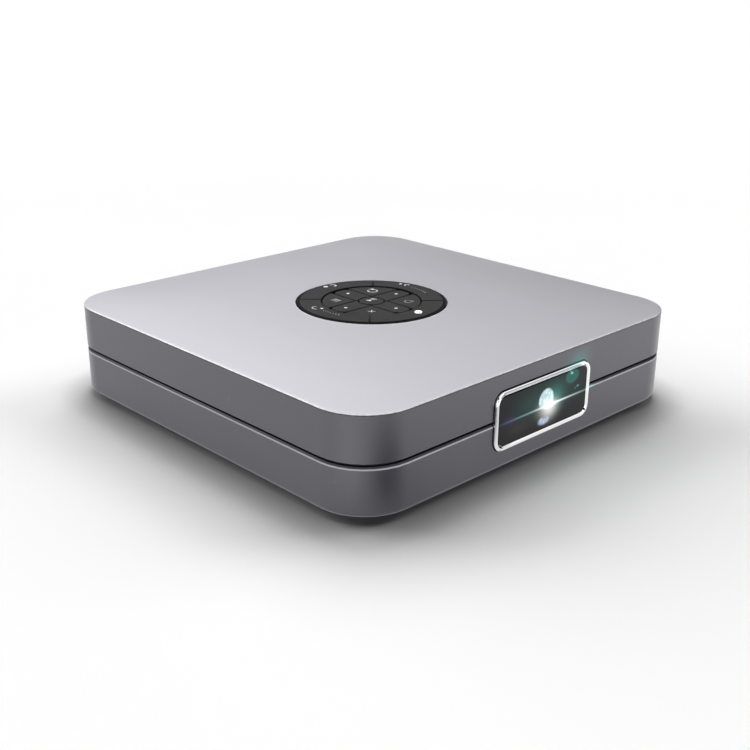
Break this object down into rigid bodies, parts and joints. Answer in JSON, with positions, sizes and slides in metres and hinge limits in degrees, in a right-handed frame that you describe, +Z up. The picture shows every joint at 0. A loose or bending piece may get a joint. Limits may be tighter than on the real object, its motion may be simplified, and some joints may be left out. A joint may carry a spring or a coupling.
{
  "type": "mini projector",
  "caption": "Palm-sized square projector with a round keypad in its silver top, a chrome-framed lens window in front and ports behind.",
  "frame": {"origin": "on the surface that the feet stand on, under the middle of the body", "axes": "+Z up out of the keypad; the lens looks along -Y; +X is to the right seen from the front"},
  "size_m": [0.15, 0.1526, 0.0338],
  "materials": {
    "silver_plate": "satin silver",
    "casing": "gunmetal paint with a low sheen",
    "chrome_frame": "polished",
    "window": "dark tint, polished",
    "lens_glass": "coated, polished",
    "key_plastic": "smooth matt",
    "indicator": "milky",
    "rubber": "matt",
    "circuit_board": "solder mask",
    "dark_metal": "black anodised",
    "cast_metal": "as cast",
    "steel": "bright",
    "aluminium": "plain",
    "copper": "plain copper",
    "brass": "turned",
    "black_plastic": "moulded",
    "battery_sleeve": "shrunk sleeve",
    "chip_ceramic": "smooth",
    "red_lamp": "smooth",
    "green_lamp": "smooth",
    "blue_lamp": "smooth"
  },
  "bodies": {
    "housing": {"top_cover": "silver_plate", "upper_casing": "casing", "lower_casing": "casing", "lens_frame": "chrome_frame", "window_glass": "window", "prism": "lens_glass", "keypad_frame": "key_plastic", "dome_sheet": "rubber", "keypad_board": "circuit_board", "guide_rod_left": "steel", "guide_rod_right": "steel", "focus_motor": "steel", "light_engine": "cast_metal", "engine_lid": "dark_metal", "picture_chip": "chip_ceramic", "chip_board": "circuit_board", "red_lamp": "red_lamp", "green_lamp": "green_lamp", "blue_lamp": "blue_lamp", "heat_pipe": "copper", "heat_sink": "aluminium", "fan_frame": "black_plastic", "battery_pack": "battery_sleeve", "speaker": "black_plastic", "main_board": "circuit_board", "port_panel": "black_plastic", "hdmi_port": "steel", "usb_port": "steel", "audio_jack": "black_plastic", "power_jack": "black_plastic", "power_switch_body": "black_plastic", "tripod_nut": "brass", "foot_back_right": "rubber", "casing_screw_back_right": "steel", "foot_back_left": "rubber", "casing_screw_back_left": "steel", "foot_front_left": "rubber", "casing_screw_front_left": "steel", "foot_front_right": "rubber", "casing_screw_front_right": "steel"},
    "ring_key_right": {"ring_key_right": "key_plastic"},
    "ring_key_back": {"ring_key_back": "key_plastic"},
    "ring_key_left": {"ring_key_left": "key_plastic"},
    "ring_key_front": {"ring_key_front": "key_plastic", "indicator_light": "indicator"},
    "arm_key_right": {"arm_key_right": "key_plastic"},
    "arm_key_back": {"arm_key_back": "key_plastic"},
    "arm_key_left": {"arm_key_left": "key_plastic"},
    "arm_key_front": {"arm_key_front": "key_plastic"},
    "corner_key_back_right": {"corner_key_back_right": "key_plastic"},
    "corner_key_back_left": {"corner_key_back_left": "key_plastic"},
    "corner_key_front_left": {"corner_key_front_left": "key_plastic"},
    "corner_key_front_right": {"corner_key_front_right": "key_plastic"},
    "centre_key": {"centre_key": "key_plastic"},
    "lens_carriage": {"lens_barrel": "dark_metal", "front_lens": "lens_glass", "rear_lens": "lens_glass"},
    "focus_drive": {"focus_screw": "steel"},
    "fan_rotor": {"fan_impeller": "black_plastic"},
    "switch_knob": {"power_switch_knob": "black_plastic"}
  },
  "joints": [
    {"name": "ring_key_right_press", "type": "slide", "parent": "housing", "child": "ring_key_right", "axis": [0, 0, -1], "range_m": [0, 0.00025], "stiffness_N_per_m": 400, "springref_m": -0.0005},
    {"name": "ring_key_back_press", "type": "slide", "parent": "housing", "child": "ring_key_back", "axis": [0, 0, -1], "range_m": [0, 0.00025], "stiffness_N_per_m": 400, "springref_m": -0.0005},
    {"name": "ring_key_left_press", "type": "slide", "parent": "housing", "child": "ring_key_left", "axis": [0, 0, -1], "range_m": [0, 0.00025], "stiffness_N_per_m": 400, "springref_m": -0.0005},
    {"name": "ring_key_front_press", "type": "slide", "parent": "housing", "child": "ring_key_front", "axis": [0, 0, -1], "range_m": [0, 0.00025], "stiffness_N_per_m": 400, "springref_m": -0.0005},
    {"name": "arm_key_right_press", "type": "slide", "parent": "housing", "child": "arm_key_right", "axis": [0, 0, -1], "range_m": [0, 0.00025], "stiffness_N_per_m": 400, "springref_m": -0.0005},
    {"name": "arm_key_back_press", "type": "slide", "parent": "housing", "child": "arm_key_back", "axis": [0, 0, -1], "range_m": [0, 0.00025], "stiffness_N_per_m": 400, "springref_m": -0.0005},
    {"name": "arm_key_left_press", "type": "slide", "parent": "housing", "child": "arm_key_left", "axis": [0, 0, -1], "range_m": [0, 0.00025], "stiffness_N_per_m": 400, "springref_m": -0.0005},
    {"name": "arm_key_front_press", "type": "slide", "parent": "housing", "child": "arm_key_front", "axis": [0, 0, -1], "range_m": [0, 0.00025], "stiffness_N_per_m": 400, "springref_m": -0.0005},
    {"name": "corner_key_back_right_press", "type": "slide", "parent": "housing", "child": "corner_key_back_right", "axis": [0, 0, -1], "range_m": [0, 0.00025], "stiffness_N_per_m": 400, "springref_m": -0.0005},
    {"name": "corner_key_back_left_press", "type": "slide", "parent": "housing", "child": "corner_key_back_left", "axis": [0, 0, -1], "range_m": [0, 0.00025], "stiffness_N_per_m": 400, "springref_m": -0.0005},
    {"name": "corner_key_front_left_press", "type": "slide", "parent": "housing", "child": "corner_key_front_left", "axis": [0, 0, -1], "range_m": [0, 0.00025], "stiffness_N_per_m": 400, "springref_m": -0.0005},
    {"name": "corner_key_front_right_press", "type": "slide", "parent": "housing", "child": "corner_key_front_right", "axis": [0, 0, -1], "range_m": [0, 0.00025], "stiffness_N_per_m": 400, "springref_m": -0.0005},
    {"name": "centre_key_press", "type": "slide", "parent": "housing", "child": "centre_key", "axis": [0, 0, -1], "range_m": [0, 0.00025], "stiffness_N_per_m": 400, "springref_m": -0.0005},
    {"name": "lens_focus", "type": "slide", "parent": "housing", "child": "lens_carriage", "axis": [0, 1, 0], "range_m": [0, 0.001]},
    {"name": "focus_screw_turn", "type": "hinge", "parent": "housing", "child": "focus_drive", "pos_m": [0.0123, -0.062, 0.01896], "axis": [0, 1, 0], "range_deg": [0, 721]},
    {"name": "fan_spin", "type": "hinge", "parent": "housing", "child": "fan_rotor", "pos_m": [0.066, -0.037, 0.0168], "axis": [1, 0, 0], "continuous": true},
    {"name": "power_switch", "type": "slide", "parent": "housing", "child": "switch_knob", "axis": [1, 0, 0], "range_m": [0, 0.0022]}
  ],
  "couplings": [
    {"joint": "focus_screw_turn", "follows": "lens_focus", "rad_per_m": 12566}
  ]
}
